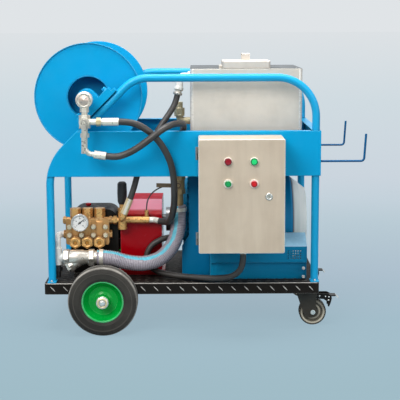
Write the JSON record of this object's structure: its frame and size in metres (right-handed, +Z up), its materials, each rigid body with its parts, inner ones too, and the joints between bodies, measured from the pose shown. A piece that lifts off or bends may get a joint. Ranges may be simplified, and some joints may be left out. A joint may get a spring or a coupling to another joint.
{
  "type": "drain cleaning machine",
  "caption": "Electric high-pressure drain jetter on a wheeled cart, with a water tank, hose reel, plunger pump, gear-driven motor and control box",
  "frame": {"origin": "on the floor, under the middle of the whole machine", "axes": "+X along the cart from the reel to the hose hooks, +Y away from the control box, +Z up"},
  "size_m": [1.198, 0.849, 1.0422],
  "materials": {
    "blue_paint": "gloss",
    "deck_black": "satin",
    "steel": "satin",
    "tank_steel": "brushed",
    "box_steel": "brushed",
    "chrome": "polished",
    "brass": "satin",
    "tyre": "matte",
    "green_rim": "gloss",
    "caster_rubber": "matte",
    "red_paint": "gloss",
    "black_iron": "satin",
    "dark_steel": "satin",
    "white_plastic": "matte",
    "black_plastic": "matte",
    "cowl_paint": "satin",
    "hose_black": "matte",
    "clear_hose": "gloss",
    "grey_plastic": "matte",
    "green_button": "gloss",
    "red_button": "gloss",
    "lamp": "gloss"
  },
  "bodies": {
    "chassis": {"deck_tray": "deck_black", "deck_bearers": "deck_black", "wheel_axle": "dark_steel", "near_side_frame": "blue_paint", "far_side_frame": "blue_paint", "near_side_panel": "blue_paint", "far_side_panel": "blue_paint", "end_panel": "blue_paint", "tank_supports": "blue_paint", "bearing_blocks": "blue_paint", "tank_shell": "tank_steel", "tank_fittings": "brass", "plastic_fittings": "white_plastic", "y_strainer": "chrome", "hose_ferrules": "chrome", "feed_manifold": "chrome", "pump_stand": "deck_black", "pump_crankcase": "black_iron", "pump_head": "brass", "valve_caps": "brass", "head_bolts": "steel", "pressure_gauge": "chrome", "oil_cap": "red_paint", "unloader_valve": "brass", "gear_case": "red_paint", "motor_housing": "cowl_paint", "fan_cowl": "cowl_paint", "motor_skirt": "blue_paint", "control_box": "box_steel", "switchgear": "grey_plastic", "feed_hose": "hose_black", "relief_hose": "hose_black", "bypass_hose": "hose_black", "suction_hose": "clear_hose", "power_conduit": "hose_black", "switch_cable": "hose_black"},
    "reel": {"reel_flanges": "blue_paint", "reel_core": "blue_paint"},
    "near_wheel": {"near_tyre": "tyre", "near_rim": "green_rim"},
    "far_wheel": {"far_tyre": "tyre", "far_rim": "green_rim"},
    "near_caster": {"near_caster_fork": "chrome"},
    "far_caster": {"far_caster_fork": "chrome"},
    "near_roller": {"near_caster_wheel": "caster_rubber"},
    "far_roller": {"far_caster_wheel": "caster_rubber"},
    "near_brake": {"near_brake_pedal": "steel"},
    "far_brake": {"far_brake_pedal": "steel"},
    "lid": {"tank_lid": "tank_steel"},
    "door": {"box_door": "box_steel", "pilot_lamps": "lamp"},
    "start": {"start_button": "green_button"},
    "stop": {"stop_button": "red_button"},
    "lock": {"door_lock": "chrome"},
    "reel_lever": {"reel_valve_lever": "steel"},
    "outlet_lever": {"outlet_valve_lever": "steel"},
    "pressure_knob": {"unloader_knob": "black_plastic"},
    "needle": {"gauge_needle": "black_plastic"},
    "rotor": {"motor_rotor": "dark_steel"},
    "crank": {"crankshaft": "dark_steel"}
  },
  "joints": [
    {"name": "reel_spin", "type": "hinge", "parent": "chassis", "child": "reel", "pos_m": [-0.40401, 0.034, 0.84723], "axis": [0, 1, 0], "continuous": true},
    {"name": "near_wheel_spin", "type": "hinge", "parent": "chassis", "child": "near_wheel", "pos_m": [-0.352, -0.311, 0.125], "axis": [0, 1, 0], "continuous": true},
    {"name": "far_wheel_spin", "type": "hinge", "parent": "chassis", "child": "far_wheel", "pos_m": [-0.352, 0.379, 0.125], "axis": [0, 1, 0], "continuous": true},
    {"name": "near_caster_swivel", "type": "hinge", "parent": "chassis", "child": "near_caster", "pos_m": [0.386, -0.181, 0.13], "axis": [0, 0, 1], "continuous": true},
    {"name": "far_caster_swivel", "type": "hinge", "parent": "chassis", "child": "far_caster", "pos_m": [0.386, 0.249, 0.13], "axis": [0, 0, 1], "continuous": true},
    {"name": "near_caster_roll", "type": "hinge", "parent": "near_caster", "child": "near_roller", "pos_m": [0.415, -0.181, 0.05], "axis": [0, 1, 0], "continuous": true},
    {"name": "far_caster_roll", "type": "hinge", "parent": "far_caster", "child": "far_roller", "pos_m": [0.415, 0.249, 0.05], "axis": [0, 1, 0], "continuous": true},
    {"name": "near_brake_press", "type": "hinge", "parent": "near_caster", "child": "near_brake", "pos_m": [0.412, -0.181, 0.11], "axis": [0, 1, 0], "range_deg": [0, 18]},
    {"name": "far_brake_press", "type": "hinge", "parent": "far_caster", "child": "far_brake", "pos_m": [0.412, 0.249, 0.11], "axis": [0, 1, 0], "range_deg": [0, 18]},
    {"name": "lid_hinge", "type": "hinge", "parent": "chassis", "child": "lid", "pos_m": [0.0757, -0.081, 0.9525], "axis": [0, -1, 0], "range_deg": [0, 100]},
    {"name": "door_hinge", "type": "hinge", "parent": "chassis", "child": "door", "pos_m": [-0.012, -0.3903, 0.515], "axis": [0, 0, -1], "range_deg": [0, 110]},
    {"name": "lock_turn", "type": "hinge", "parent": "door", "child": "lock", "pos_m": [0.237, -0.406, 0.516], "axis": [0, 1, 0], "range_deg": [0, 90]},
    {"name": "start_press", "type": "slide", "parent": "door", "child": "start", "axis": [0, 1, 0], "range_m": [0, 0.004], "stiffness_N_per_m": 900, "springref_m": -0.0005},
    {"name": "stop_press", "type": "slide", "parent": "door", "child": "stop", "axis": [0, 1, 0], "range_m": [0, 0.004], "stiffness_N_per_m": 900, "springref_m": -0.0005},
    {"name": "reel_valve_turn", "type": "hinge", "parent": "chassis", "child": "reel_lever", "pos_m": [-0.40401, -0.36, 0.77023], "axis": [0, 1, 0], "range_deg": [0, 90]},
    {"name": "outlet_valve_turn", "type": "hinge", "parent": "chassis", "child": "outlet_lever", "pos_m": [-0.081, -0.184, 0.523], "axis": [0, 1, 0], "range_deg": [0, 90]},
    {"name": "unloader_turn", "type": "hinge", "parent": "chassis", "child": "pressure_knob", "pos_m": [-0.29, -0.136, 0.48], "axis": [0, 0, 1], "range_deg": [0, 270]},
    {"name": "gauge_sweep", "type": "hinge", "parent": "chassis", "child": "needle", "pos_m": [-0.443, -0.194, 0.388], "axis": [0, 1, 0], "range_deg": [-187, 83]},
    {"name": "rotor_spin", "type": "hinge", "parent": "chassis", "child": "rotor", "pos_m": [0.111, 0.034, 0.362], "axis": [1, 0, 0], "continuous": true},
    {"name": "crank_spin", "type": "hinge", "parent": "chassis", "child": "crank", "pos_m": [-0.369, -0.041, 0.362], "axis": [1, 0, 0], "continuous": true}
  ],
  "couplings": [
    {"joint": "crank_spin", "follows": "rotor_spin", "ratio": -0.66667}
  ]
}
